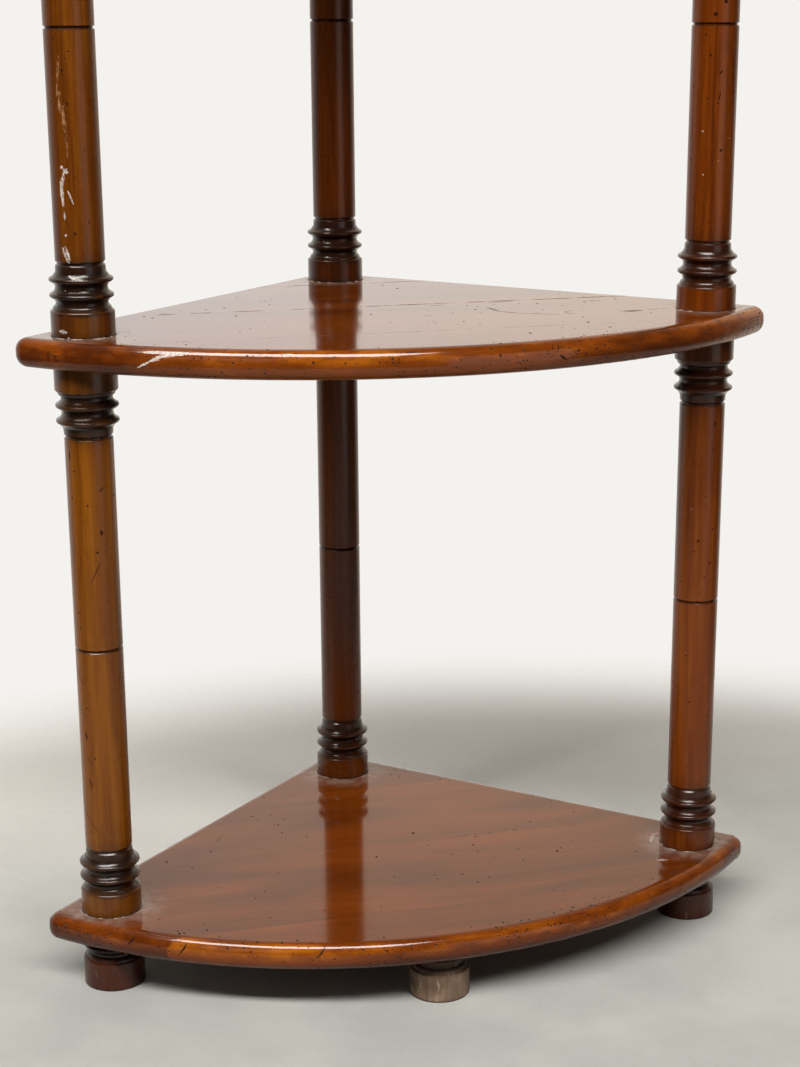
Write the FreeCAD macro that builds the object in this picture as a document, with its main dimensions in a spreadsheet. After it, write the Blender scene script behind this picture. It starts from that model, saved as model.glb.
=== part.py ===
import FreeCAD, Part
import math
import os
import re
import Sketcher

# Corner etagere: quadrant shelves, each glued up from four boards, held apart by
# turned post sections. Steel studs run through the shelves and screw the sections,
# the feet and the finials together.
#
# Frame, in millimetres: +Z is up and the floor is at Z = 0, the curved front faces -Y,
# and the back corner points to +Y. The origin is under the middle of the outer box.

SIZES = {
    # Plan: two front posts and a back post, at the ends of two equal arms that meet
    # at a right angle on the back post.
    "post_half_spacing": 240.0,
    "wall_overhang": 38.0,
    "front_overhang": 36.5,
    "front_arc_setback": 30.0,
    "plan_corner_extra": 1.0,
    # Shelves.
    "shelf_thickness": 21.5,
    "top_edge_share": 0.42,
    "bottom_edge_share": 0.44,
    "board_width": 130.0,
    "front_board_width_1": 58.5,
    "front_board_width_2": 77.0,
    "front_board_width_3": 71.0,
    "front_board_width_4": 74.0,
    # Turned post sections.
    "bay_clear_height": 425.5,
    "shaft_radius": 17.8,
    "collar_radius": 23.0,
    "collar_height": 17.0,
    "collar_arris": 0.8,
    "collar_top_round": 1.6,
    "shoulder_inset": 1.8,
    "shoulder_height": 3.8,
    "shoulder_round": 4.2,
    "neck_radius": 18.8,
    "neck_height": 1.9,
    "ring_bulge": 4.2,
    "ring_height": 9.4,
    "ring_crest_height": 3.2,
    "ring_crest_rise": 1.1,
    "ring_flank_radius": 6.0,
    "band_flare": 0.4,
    "band_height": 5.2,
    "notch_depth": 1.2,
    "notch_width": 2.4,
    "shaft_end_round": 1.2,
    "mid_groove_depth": 1.5,
    "mid_groove_width": 2.6,
    # Finials.
    "finial_stem_radius": 9.0,
    "finial_stem_rise": 5.0,
    "finial_ball_radius": 18.5,
    "finial_nub_radius": 5.0,
    "finial_nub_height": 4.0,
    "finial_nub_round": 3.0,
    # Feet.
    "foot_height": 40.0,
    "foot_radius": 23.5,
    "foot_drum_height": 21.0,
    "centre_foot_setback": 40.0,
    # Studs and their holes.
    "stud_radius": 4.0,
    "stud_chamfer": 0.8,
    "stud_grip": 25.0,
    "stud_end_gap": 2.0,
    "socket_clearance": 0.1,
    "shelf_hole_clearance": 0.5,
    "blind_stud_grip": 10.0,
}

SHELF_COUNT = 4
BOARD_NAMES = ("front", "middle_front", "middle_back", "back")

doc = FreeCAD.newDocument("corner_etagere")
sheet = doc.addObject("Spreadsheet::Sheet", "Sizes")
for row, (alias, value) in enumerate(SIZES.items(), start=1):
    sheet.set(f"A{row}", alias.replace("_", " "))
    sheet.set(f"B{row}", str(value))
    sheet.setAlias(f"B{row}", alias)
doc.recompute()


# ---------------------------------------------------------------- formulas of the sizes

def formula(text):
    """The text with every size's name turned into a reference to its cell."""
    return re.sub(r"[a-z]+(?:_[a-z0-9]+)+", r"Sizes.\g<0>", text)


def number(text):
    """What the formula comes to now, for a sketch's first placing of its points."""
    return float(sheet.evalExpression(formula(text)))


# The front arc, centred behind the back post, passes outside the front posts.
POST_ARC_RADIUS = "sqrt(post_half_spacing ^ 2 + (post_half_spacing + front_arc_setback) ^ 2)"
FRONT_RADIUS = f"({POST_ARC_RADIUS} + front_overhang)"
# Plan distances, measured from the back post's axis.
FRONT_REACH = f"({FRONT_RADIUS} - front_arc_setback)"
APEX = "(wall_overhang * sqrt(2))"
TOP_EDGE = "(top_edge_share * shelf_thickness)"
BOTTOM_EDGE = "(bottom_edge_share * shelf_thickness)"
PLAN_CORNER = f"({BOTTOM_EDGE} + plan_corner_extra)"
BACK_EDGE = f"({APEX} - (sqrt(2) - 1) * {PLAN_CORNER})"
# The back post's place from the middle of the outer box.
BACK_POST_Y = f"(({FRONT_REACH} - {BACK_EDGE}) / 2)"
FRONT_POST_Y = f"({BACK_POST_Y} - post_half_spacing)"
CENTRE_FOOT_Y = f"({BACK_POST_Y} - {FRONT_REACH} + centre_foot_setback)"
# Plan places of the three posts.
POSTS = {
    "left": ("(0 - post_half_spacing)", FRONT_POST_Y),
    "right": ("post_half_spacing", FRONT_POST_Y),
    "back": ("0", BACK_POST_Y),
}
SHELF_PITCH = "(bay_clear_height + shelf_thickness)"
SOCKET_RADIUS = "(stud_radius + socket_clearance)"
SOCKET_DEPTH = "(stud_grip + stud_end_gap)"
# Distances along a post's turned end, from the face that meets a shelf.
RING_STEP = "(neck_height + ring_height)"
SHOULDER_RISE = "(collar_top_round + shoulder_height)"
BAND_START = f"(collar_height + {SHOULDER_RISE} + 2 * {RING_STEP})"
NOTCH_START = f"({BAND_START} + band_height)"
NOTCH_END = f"({NOTCH_START} + notch_width)"
# A ring's rounded crest, and where its two hollow flanks meet it.
CREST_ARC = "((ring_crest_height ^ 2 / 4 + ring_crest_rise ^ 2) / (2 * ring_crest_rise))"
CREST_SIDE = "(neck_radius + ring_bulge - ring_crest_rise)"
FLANK_HEIGHT = "((ring_height - ring_crest_height) / 2)"


def shelf_bottom(level):
    """Height of a shelf's underside; level 1 is the lowest shelf."""
    return f"(foot_height + {level - 1} * {SHELF_PITCH})"


# ---------------------------------------------------------------- bodies and sketches

def new_body(name):
    body = doc.addObject("PartDesign::Body", name)
    body.Label = name
    return body


def place(part, x, y, z):
    for axis, text in (("x", x), ("y", y), ("z", z)):
        part.setExpression(f"Placement.Base.{axis}", formula(text))


def origin_plane(body, role):
    return next(item for item in body.Origin.OriginFeatures if item.Role == role)


def new_sketch(body, name, role="XY_Plane", height="0"):
    """A sketch on one of the body's own planes, lifted by a height."""
    sketch = body.newObject("Sketcher::SketchObject", name)
    sketch.AttachmentSupport = [(origin_plane(body, role), "")]
    sketch.MapMode = "FlatFace"
    sketch.setExpression("AttachmentOffset.Base.z", formula(height))
    return sketch


def dimension(sketch, kind, references, text):
    """A dimension of the sketch, driven by a formula of the sizes."""
    value = number(text)
    index = sketch.addConstraint(Sketcher.Constraint(kind, *references, value))
    name = f"size_{index}"
    sketch.renameConstraint(index, name)
    sketch.setExpression(f"Constraints.{name}", formula(text))


ORIGIN_POINT = (-1, 1)
VERTICAL_AXIS = -2
START, END, CENTRE = 1, 2, 3


def arc_between(start, end, radius, bulge):
    """The minor arc from start to end, and whether it runs start to end anticlockwise.

    A positive bulge swells to the right of the way from start to end.
    """
    chord = end - start
    middle = (start + end) * 0.5
    to_left = FreeCAD.Vector(-chord.y, chord.x, 0).normalize()
    rise = math.sqrt(max(radius ** 2 - (chord.Length / 2) ** 2, 0.0))
    centre = middle + to_left * (rise * bulge)
    first, last = (start, end) if bulge > 0 else (end, start)
    angles = [math.atan2(p.y - centre.y, p.x - centre.x) for p in (first, last)]
    circle = Part.Circle(centre, FreeCAD.Vector(0, 0, 1), radius)
    return Part.ArcOfCircle(circle, *angles), bulge > 0


def closed_profile(sketch, corners):
    """A closed outline through corners (x, y) or (x, y, radius, bulge).

    The last two make the edge from that corner to the next one an arc.
    """
    points = [FreeCAD.Vector(number(c[0]), number(c[1]), 0) for c in corners]
    ends = []
    for index, corner in enumerate(corners):
        start, end = points[index], points[(index + 1) % len(points)]
        if len(corner) == 4:
            arc, forward = arc_between(start, end, number(corner[2]), corner[3])
            edge = sketch.addGeometry(arc, False)
            dimension(sketch, "Radius", (edge,), corner[2])
        else:
            edge = sketch.addGeometry(Part.LineSegment(start, end), False)
            forward = True
        ends.append((edge, START, END) if forward else (edge, END, START))
    for index, (edge, first, _) in enumerate(ends):
        before, _, last = ends[index - 1]
        sketch.addConstraint(Sketcher.Constraint("Coincident", before, last, edge, first))
        for kind, text in zip(("DistanceX", "DistanceY"), corners[index][:2]):
            dimension(sketch, kind, (*ORIGIN_POINT, edge, first), text)


def turn(body, corners):
    """A turned solid: the half outline, swept round the body's vertical axis."""
    sketch = new_sketch(body, "Outline", "XZ_Plane")
    closed_profile(sketch, corners)
    turning = body.newObject("PartDesign::Revolution", "Turning")
    turning.Profile = sketch
    turning.ReferenceAxis = (sketch, ["V_Axis"])
    turning.Angle = 360.0
    return turning


def bore(body, name, centres, radius, start="0", depth=None, upwards=True):
    """Round holes from the height start, through all or to a depth."""
    sketch = new_sketch(body, f"{name}_Circles", height=start)
    for x, y in centres:
        spot = FreeCAD.Vector(number(x), number(y), 0)
        circle = Part.Circle(spot, FreeCAD.Vector(0, 0, 1), number(radius))
        edge = sketch.addGeometry(circle, False)
        dimension(sketch, "Radius", (edge,), radius)
        if (x, y) == ("0", "0"):
            sketch.addConstraint(Sketcher.Constraint("Coincident", edge, CENTRE, *ORIGIN_POINT))
        else:
            dimension(sketch, "DistanceX", (*ORIGIN_POINT, edge, CENTRE), x)
            dimension(sketch, "DistanceY", (*ORIGIN_POINT, edge, CENTRE), y)
    pocket = body.newObject("PartDesign::Pocket", name)
    pocket.Profile = sketch
    pocket.Reversed = upwards
    if depth is None:
        pocket.Type = "ThroughAll"
    else:
        pocket.setExpression("Length", formula(depth))
    return pocket


# ---------------------------------------------------------------- turned parts

def collar_and_rings(radius, height, rings, station):
    """Outline of a collar, its ovolo shoulder and the rings with hollow flanks beyond it.

    It runs from the axis at the collar's flat end to the far side of the last ring.
    station turns a distance from that end into a height of the outline.
    """
    side = 1 if number(station("1")) > number(station("0")) else -1
    round_end = f"({height} + collar_top_round)"
    corners = [
        ("0", "0"),
        (f"({radius} - collar_arris)", "0", "collar_arris", side),
        (radius, "collar_arris"),
        (radius, height, "collar_top_round", side),
        (f"({radius} - collar_top_round)", round_end),
        (f"({radius} - shoulder_inset)", round_end, "shoulder_round", side),
        ("neck_radius", f"({round_end} + shoulder_height)"),
    ]
    for ring in range(rings):
        ring_start = f"({height} + {SHOULDER_RISE} + neck_height + {ring} * {RING_STEP})"
        corners += [
            ("neck_radius", ring_start, "ring_flank_radius", -side),
            (CREST_SIDE, f"({ring_start} + {FLANK_HEIGHT})", CREST_ARC, side),
            (CREST_SIDE, f"({ring_start} + ring_height - {FLANK_HEIGHT})", "ring_flank_radius", -side),
            ("neck_radius", f"({ring_start} + ring_height)"),
        ]
    return [(corner[0], station(corner[1]), *corner[2:]) for corner in corners]


def post_end(station):
    """Outline of a post's end: collar, two rings, a flared band and a notch."""
    corners = collar_and_rings("collar_radius", "collar_height", 2, station)
    band = [
        ("(shaft_radius + band_flare)", BAND_START),
        ("shaft_radius", NOTCH_START),
        ("(shaft_radius - notch_depth)", f"({NOTCH_START} + notch_width / 2)"),
    ]
    return corners + [(radius, station(distance)) for radius, distance in band]


def post_section(name):
    """One turned section of a post, from shelf to shelf, alike at both ends."""
    body = new_body(name)
    half = "(bay_clear_height / 2)"
    corners = post_end(lambda distance: f"({half} - {distance})")
    corners += [
        ("(shaft_radius - shaft_end_round)", f"({half} - {NOTCH_END})", "shaft_end_round", -1),
        ("shaft_radius", f"({half} - {NOTCH_END} - shaft_end_round)"),
        ("shaft_radius", "(mid_groove_width / 2)"),
        ("(shaft_radius - mid_groove_depth)", "0"),
        ("0", "0"),
    ]
    turning = turn(body, corners)
    socket = bore(body, "Socket", [("0", "0")], SOCKET_RADIUS, half, SOCKET_DEPTH, False)
    mirrored = body.newObject("PartDesign::Mirrored", "OtherHalf")
    mirrored.Originals = [turning, socket]
    mirrored.MirrorPlane = (origin_plane(body, "XY_Plane"), [""])
    body.Tip = mirrored
    return body


def finial(name):
    """A post's top: the same turned end, a stem, a ball and a nub."""
    body = new_body(name)
    stem_top = f"({NOTCH_END} + finial_stem_rise)"
    ball_centre = f"({stem_top} + sqrt(finial_ball_radius ^ 2 - finial_stem_radius ^ 2))"
    ball_top = f"({ball_centre} + sqrt(finial_ball_radius ^ 2 - finial_nub_radius ^ 2))"
    nub_top = f"({ball_top} + finial_nub_height)"
    corners = post_end(lambda distance: distance)
    corners += [
        ("(shaft_radius - shaft_end_round)", NOTCH_END),
        ("finial_stem_radius", stem_top, "finial_ball_radius", 1),
        ("finial_ball_radius", ball_centre, "finial_ball_radius", 1),
        ("finial_nub_radius", ball_top),
        ("finial_nub_radius", f"({nub_top} - finial_nub_round)", "finial_nub_round", 1),
        ("(finial_nub_radius - finial_nub_round)", nub_top),
        ("0", nub_top),
    ]
    turn(body, corners)
    bore(body, "Socket", [("0", "0")], SOCKET_RADIUS, depth=SOCKET_DEPTH)
    return body


def foot(name):
    """A foot: a drum on the floor, a shoulder, and one ring under the shelf."""
    body = new_body(name)
    corners = collar_and_rings("foot_radius", "foot_drum_height", 1, lambda distance: distance)
    corners += [("neck_radius", "foot_height"), ("0", "foot_height")]
    turn(body, corners)
    bore(body, "Socket", [("0", "0")], SOCKET_RADIUS, "foot_height", SOCKET_DEPTH, False)
    return body


def stud(name, length):
    """A steel stud, chamfered at both ends."""
    body = new_body(name)
    turn(body, [
        ("0", "0"),
        ("(stud_radius - stud_chamfer)", "0"),
        ("stud_radius", "stud_chamfer"),
        ("stud_radius", f"({length} - stud_chamfer)"),
        ("(stud_radius - stud_chamfer)", length),
        ("0", length),
    ])
    return body


# ---------------------------------------------------------------- shelves

def round_edges(body, base, name, chosen, radius):
    """A fillet on the base feature's edges that the test chosen picks."""
    doc.recompute()
    names = [f"Edge{index}" for index, edge in enumerate(base.Shape.Edges, start=1)
             if chosen(edge.BoundBox)]
    fillet = body.newObject("PartDesign::Fillet", name)
    fillet.Base = (base, names)
    fillet.setExpression("Radius", formula(radius))
    return fillet


def shelf_panel(level):
    """A shelf as it is glued up and cut: its origin is on the back post's axis."""
    body = new_body(f"shelf_{level}_panel")
    outline = new_sketch(body, "Plan")
    apex_y = number(APEX)
    radius = number(FRONT_RADIUS)
    centre_y = number("front_arc_setback")
    # Where an edge that falls away at 45 degrees from the apex meets the front arc.
    rise = apex_y - centre_y
    corner_x = (rise + math.sqrt(2 * radius ** 2 - rise ** 2)) / 2
    apex = FreeCAD.Vector(0, apex_y, 0)
    left = FreeCAD.Vector(-corner_x, apex_y - corner_x, 0)
    right = FreeCAD.Vector(corner_x, apex_y - corner_x, 0)
    centre = FreeCAD.Vector(0, centre_y, 0)
    circle = Part.Circle(centre, FreeCAD.Vector(0, 0, 1), radius)
    angles = [math.atan2(corner.y - centre_y, corner.x) for corner in (left, right)]
    left_wall = outline.addGeometry(Part.LineSegment(apex, left), False)
    right_wall = outline.addGeometry(Part.LineSegment(right, apex), False)
    front = outline.addGeometry(Part.ArcOfCircle(circle, *angles), False)
    for joint in (
        (left_wall, START, right_wall, END),
        (left_wall, END, front, START),
        (front, END, right_wall, START),
    ):
        outline.addConstraint(Sketcher.Constraint("Coincident", *joint))
    for point in ((left_wall, START), (front, CENTRE)):
        outline.addConstraint(Sketcher.Constraint("PointOnObject", *point, VERTICAL_AXIS))
    outline.addConstraint(Sketcher.Constraint("Perpendicular", left_wall, right_wall))
    outline.addConstraint(Sketcher.Constraint("Equal", left_wall, right_wall))
    dimension(outline, "DistanceY", (*ORIGIN_POINT, left_wall, START), APEX)
    dimension(outline, "DistanceY", (*ORIGIN_POINT, front, CENTRE), "front_arc_setback")
    dimension(outline, "Radius", (front,), FRONT_RADIUS)
    pad = body.newObject("PartDesign::Pad", "Board_Thickness")
    pad.Profile = outline
    pad.setExpression("Length", formula("shelf_thickness"))
    thickness = number("shelf_thickness")
    corners = round_edges(body, pad, "Plan_Corners",
                          lambda box: box.ZLength > thickness / 2, PLAN_CORNER)
    top = round_edges(body, corners, "Top_Edge",
                      lambda box: box.ZMin > thickness / 2, TOP_EDGE)
    round_edges(body, top, "Bottom_Edge",
                lambda box: box.ZMax < thickness / 4, BOTTOM_EDGE)
    posts = [("0", "0"), ("post_half_spacing", "(0 - post_half_spacing)"),
             ("(0 - post_half_spacing)", "(0 - post_half_spacing)")]
    bore(body, "Stud_Holes", posts, "(stud_radius + shelf_hole_clearance)")
    if level == 1:
        centre_foot = [("0", f"({CENTRE_FOOT_Y} - {BACK_POST_Y})")]
        bore(body, "Centre_Foot_Hole", centre_foot, SOCKET_RADIUS,
             depth="(blind_stud_grip + socket_clearance)")
    place(body, "0", BACK_POST_Y, shelf_bottom(level))
    return body


def shelf_boards(level):
    """The four boards of a shelf, front to back: its panel, parted at the glue lines."""
    panel = shelf_panel(level)
    front_edge = f"({BACK_POST_Y} - {FRONT_REACH})"
    lines = [f"({front_edge} - front_overhang)"]
    for index in range(len(BOARD_NAMES) - 1):
        lines.append(f"({front_edge} + front_board_width_{level} + {index} * board_width)")
    lines.append(f"({BACK_POST_Y} + {APEX} + wall_overhang)")
    boards = []
    for index, board_name in enumerate(BOARD_NAMES):
        strip = doc.addObject("Part::Box", f"Shelf_{level}_Strip_{index + 1}")
        strip.setExpression("Length", formula(f"2 * {FRONT_RADIUS}"))
        strip.setExpression("Width", formula(f"{lines[index + 1]} - {lines[index]}"))
        strip.setExpression("Height", formula("3 * shelf_thickness"))
        place(strip, f"(0 - {FRONT_RADIUS})", lines[index],
              f"({shelf_bottom(level)} - shelf_thickness)")
        board = doc.addObject("Part::MultiCommon", f"shelf_{level}_board_{board_name}")
        board.Label = f"shelf_{level}_board_{board_name}"
        board.Shapes = [panel, strip]
        boards.append(board)
    return boards


# ---------------------------------------------------------------- the assembly

nodes = []
for level in range(1, SHELF_COUNT + 1):
    nodes += shelf_boards(level)

STUD_LENGTH = "(2 * stud_grip + shelf_thickness)"
for post_name, (post_x, post_y) in POSTS.items():
    post_foot = foot(f"foot_{post_name}")
    place(post_foot, post_x, post_y, "0")
    nodes.append(post_foot)
    for bay in range(1, SHELF_COUNT):
        section = post_section(f"post_{post_name}_section_{bay}")
        place(section, post_x, post_y,
              f"({shelf_bottom(bay)} + shelf_thickness + bay_clear_height / 2)")
        nodes.append(section)
    for level in range(1, SHELF_COUNT + 1):
        joint_stud = stud(f"stud_{post_name}_shelf_{level}", STUD_LENGTH)
        place(joint_stud, post_x, post_y, f"({shelf_bottom(level)} - stud_grip)")
        nodes.append(joint_stud)
    post_finial = finial(f"finial_{post_name}")
    place(post_finial, post_x, post_y, f"({shelf_bottom(SHELF_COUNT)} + shelf_thickness)")
    nodes.append(post_finial)

centre_foot = foot("foot_centre_front")
place(centre_foot, "0", CENTRE_FOOT_Y, "0")
centre_stud = stud("stud_centre_foot", "(stud_grip + blind_stud_grip)")
place(centre_stud, "0", CENTRE_FOOT_Y, "(foot_height - stud_grip)")
nodes += [centre_foot, centre_stud]

doc.recompute()


# ---------------------------------------------------------------- tests and export

for item in doc.Objects:
    if "Invalid" in item.State or "Error" in item.State:
        raise RuntimeError(f"{item.Label} failed: {item.State}")
    if item.TypeId == "PartDesign::Pocket":
        if item.Shape.Volume >= item.BaseFeature.Shape.Volume:
            raise RuntimeError(f"{item.Label} cuts nothing")
for node in nodes:
    if node.Shape.isNull() or not node.Shape.isValid() or len(node.Shape.Solids) != 1:
        raise RuntimeError(f"{node.Label} has no valid single solid")

os.makedirs("parts", exist_ok=True)
for node in nodes:
    node.Shape.exportStep(f"parts/{node.Label}.step")
print(f"{len(nodes)} nodes written")
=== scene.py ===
import math
import random

import bpy
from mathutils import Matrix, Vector


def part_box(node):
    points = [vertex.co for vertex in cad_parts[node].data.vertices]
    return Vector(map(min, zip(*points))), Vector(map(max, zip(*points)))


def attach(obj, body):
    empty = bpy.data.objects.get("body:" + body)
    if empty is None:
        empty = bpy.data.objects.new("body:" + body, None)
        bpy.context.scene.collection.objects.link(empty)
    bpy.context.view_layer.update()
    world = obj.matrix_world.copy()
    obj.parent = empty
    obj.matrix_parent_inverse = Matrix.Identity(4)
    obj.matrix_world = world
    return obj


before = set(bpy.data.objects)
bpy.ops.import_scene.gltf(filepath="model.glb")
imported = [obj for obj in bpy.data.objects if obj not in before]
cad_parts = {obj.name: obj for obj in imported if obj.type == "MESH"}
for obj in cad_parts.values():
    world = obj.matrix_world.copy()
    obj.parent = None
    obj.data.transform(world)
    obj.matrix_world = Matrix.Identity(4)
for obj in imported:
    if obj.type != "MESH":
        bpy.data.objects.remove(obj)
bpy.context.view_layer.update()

bpy.ops.object.select_all(action="DESELECT")


# ---- Studio ----------------------------------------------------------------------------
# A long-lens camera, its place and lens fitted to the photograph, a pale floor that fades
# out round the object, and soft lights like tall windows in a white room.

camera_data = bpy.data.cameras.new("camera")
camera_data.lens = 71.065
camera_data.sensor_width = 36.0
camera_data.shift_x = -0.0439
camera_data.shift_y = 0.0743
camera_data.clip_start = 0.05
camera_data.clip_end = 60.0
camera = bpy.data.objects.new("camera", camera_data)
camera.location = (-0.39918, -1.60107, 0.74993)
camera.rotation_euler = (math.radians(90 - 16.628), 0.0, -math.radians(15.796))
bpy.context.scene.collection.objects.link(camera)
bpy.context.scene.camera = camera

bpy.context.scene.view_settings.view_transform = "Standard"
bpy.context.scene.view_settings.look = "None"


def add_node(tree, kind, values=None, **settings):
    """Adds a node. values maps an input's name or place to a number or to a node's output."""
    made = tree.nodes.new(kind)
    for name, value in settings.items():
        setattr(made, name, value)
    for key, value in (values or {}).items():
        if isinstance(value, bpy.types.NodeSocket):
            tree.links.new(value, made.inputs[key])
        else:
            made.inputs[key].default_value = value
    return made


def number(tree, operation, *values, clamp=False):
    """A Math node's result."""
    made = add_node(tree, "ShaderNodeMath", dict(enumerate(values)), operation=operation)
    made.use_clamp = clamp
    return made.outputs[0]


def times(tree, first, second):
    """Two values multiplied."""
    return number(tree, "MULTIPLY", first, second)


def times_plus(tree, value, amount, base, clamp=False):
    """value times amount, plus base."""
    return number(tree, "MULTIPLY_ADD", value, amount, base, clamp=clamp)


def vector_math(tree, operation, *values):
    """A Vector Math node's outputs, Vector and Value."""
    values = dict(enumerate(values))
    return add_node(tree, "ShaderNodeVectorMath", values, operation=operation).outputs


def fade(tree, value, start, end, low=0.0, high=1.0):
    """Goes smoothly from low to high while value goes from start to end."""
    values = {0: value, 1: start, 2: end, 3: low, 4: high}
    return add_node(tree, "ShaderNodeMapRange", values, interpolation_type="SMOOTHSTEP").outputs[0]


def blend_colour(tree, share, below, above, mode="MIX"):
    """Lays the colour above on the colour below, by share."""
    values = {0: share, 6: below, 7: above}
    return add_node(tree, "ShaderNodeMix", values, data_type="RGBA", blend_type=mode).outputs[2]


def ramp(tree, value, *stops):
    """A colour ramp. Each stop is (place, colour or grey)."""
    made = add_node(tree, "ShaderNodeValToRGB", {0: value})
    points = made.color_ramp.elements
    while len(points) < len(stops):
        points.new(1.0)
    for point, (place, shade) in zip(points, stops):
        point.position = place
        point.color = shade if isinstance(shade, tuple) else (shade, shade, shade, 1.0)
    return made.outputs[0]


def placed(tree, vector, location=(0, 0, 0), turn=(0, 0, 0), scale=(1, 1, 1)):
    """A Mapping node's result."""
    values = {"Vector": vector, "Location": location, "Rotation": turn, "Scale": scale}
    return add_node(tree, "ShaderNodeMapping", values).outputs[0]


def noise(tree, vector, scale, detail=3.0, roughness=0.5, distortion=0.0, stretch=None):
    """A Noise Texture's value. stretch multiplies the vector on each axis first."""
    if stretch:
        vector = placed(tree, vector, scale=stretch)
    values = {"Vector": vector, "Scale": scale, "Detail": detail,
              "Roughness": roughness, "Distortion": distortion}
    return add_node(tree, "ShaderNodeTexNoise", values).outputs[0]


def split(tree, vector):
    """A vector's X, Y and Z."""
    return add_node(tree, "ShaderNodeSeparateXYZ", {0: vector}).outputs


def from_upright(tree, vector, x, y):
    """How far each point is from the upright line through x and y."""
    return vector_math(tree, "LENGTH", placed(tree, vector, (-x, -y, 0), scale=(1, 1, 0)))["Value"]


def bumped(tree, height, strength, distance):
    """A Bump node's normal."""
    values = {"Strength": strength, "Distance": distance, "Height": height}
    return add_node(tree, "ShaderNodeBump", values).outputs[0]


def screen(red, green, blue):
    """A colour in screen values from 0 to 255, as the linear numbers that a shader takes."""
    shares = (red / 255, green / 255, blue / 255)
    linear = [s / 12.92 if s < 0.04045 else ((s + 0.055) / 1.055) ** 2.4 for s in shares]
    return tuple(linear) + (1.0,)


def principled(tree, output, **values):
    """A Principled shader as the surface. Spaces in the names of its inputs are written as _."""
    values = {label.replace("_", " "): value for label, value in values.items()}
    shader = add_node(tree, "ShaderNodeBsdfPrincipled", values)
    tree.links.new(shader.outputs[0], output.inputs["Surface"])


def new_material(name):
    """A material with an empty node tree, its output and its object coordinates."""
    made = bpy.data.materials.new(name)
    made.use_nodes = True
    made.node_tree.nodes.clear()
    tree = made.node_tree
    output = add_node(tree, "ShaderNodeOutputMaterial")
    place = add_node(tree, "ShaderNodeTexCoord").outputs["Object"]
    return made, tree, output, place


floor_reach = 2.1
floor_full = 0.92
floor_gone = 1.22
floor_forward = 0.5
bpy.ops.mesh.primitive_circle_add(vertices=96, radius=floor_reach, fill_type="NGON",
                                 location=(0.06, -floor_forward, 0.0))
bpy.ops.object.transform_apply(location=True, rotation=True, scale=True)
floor = bpy.context.object
floor.name = "studio_floor"
floor_paint, tree, output, place = new_material("pale_floor")
mottle = noise(tree, place, 5.0, detail=6.0, roughness=0.6)
grit = noise(tree, place, 160.0)
mottle = fade(tree, mottle, 0.35, 0.65)
tone = blend_colour(tree, mottle, screen(172, 173, 169), screen(186, 187, 182))
# The floor gets lighter towards the back, so that it runs into the wall.
towards_back = fade(tree, split(tree, place)["Y"], -0.1, 0.6, 0.0, 0.8)
tone = blend_colour(tree, towards_back, tone, screen(246, 243, 236))
tone = blend_colour(tree, fade(tree, grit, 0.55, 0.75, 0.0, 0.12), tone, screen(128, 129, 126))
surface = add_node(tree, "ShaderNodeBsdfPrincipled", {
    "Base Color": tone, "Roughness": 0.75, "Specular IOR Level": 0.25,
    "Normal": bumped(tree, grit, 0.15, 0.001)})
clear = add_node(tree, "ShaderNodeBsdfTransparent")
edge = fade(tree, from_upright(tree, place, 0, -floor_forward), floor_full, floor_gone)
cover = add_node(tree, "ShaderNodeMixShader", {0: edge, 1: surface.outputs[0], 2: clear.outputs[0]})
tree.links.new(cover.outputs[0], output.inputs["Surface"])
floor.data.materials.append(floor_paint)

# The camera sees a plain wall. The object mirrors a room that is brightest behind it.
wall_stops = ((0.0, (0.86, 0.82, 0.76, 1.0)), (0.13, (0.98, 0.95, 0.92, 1.0)),
              (0.24, (0.97, 0.91, 0.84, 1.0)), (0.42, (0.90, 0.79, 0.66, 1.0)),
              (1.0, (0.40, 0.38, 0.36, 1.0)))
world = bpy.data.worlds.new("studio_room")
bpy.context.scene.world = world
world.use_nodes = True
tree = world.node_tree
tree.nodes.clear()
output = add_node(tree, "ShaderNodeOutputWorld")
heading = split(tree, add_node(tree, "ShaderNodeTexCoord").outputs["Generated"])
far_wall = fade(tree, heading["Y"], 0.0, 0.6, 0.06, 1.08)
wall_tone = ramp(tree, heading["Z"], *wall_stops)
right_side = fade(tree, heading["X"], 0.10, 0.40, 0.0, 0.7)
wall_tone = blend_colour(tree, right_side, wall_tone, (1.0, 0.91, 0.79, 1.0), mode="MULTIPLY")
seen = add_node(tree, "ShaderNodeBackground", {0: screen(244, 242, 239), 1: 1.0})
path = add_node(tree, "ShaderNodeLightPath")
soft_share = times_plus(tree, path.outputs["Is Diffuse Ray"], -0.87, 1.0)
glow = times(tree, far_wall, soft_share)
room_light = add_node(tree, "ShaderNodeBackground", {0: wall_tone, 1: glow})
choice = add_node(tree, "ShaderNodeMixShader", {
    0: path.outputs["Is Camera Ray"], 1: room_light.outputs[0], 2: seen.outputs[0]})
tree.links.new(choice.outputs[0], output.inputs["Surface"])


def soft_panel(name, place, aim, width, height, power, mirrored=True, lighting=True):
    """A soft rectangular light at place, facing aim, that the camera doesn't see."""
    data = bpy.data.lights.new(name, "AREA")
    data.shape = "RECTANGLE"
    data.size = width
    data.size_y = height
    data.energy = power
    data.color = (1.0, 0.975, 0.94)
    panel = bpy.data.objects.new(name, data)
    panel.location = place
    panel.rotation_euler = (Vector(aim) - Vector(place)).to_track_quat("-Z", "Y").to_euler()
    panel.visible_camera = False
    panel.visible_glossy = mirrored
    panel.visible_diffuse = lighting
    bpy.context.scene.collection.objects.link(panel)


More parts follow.
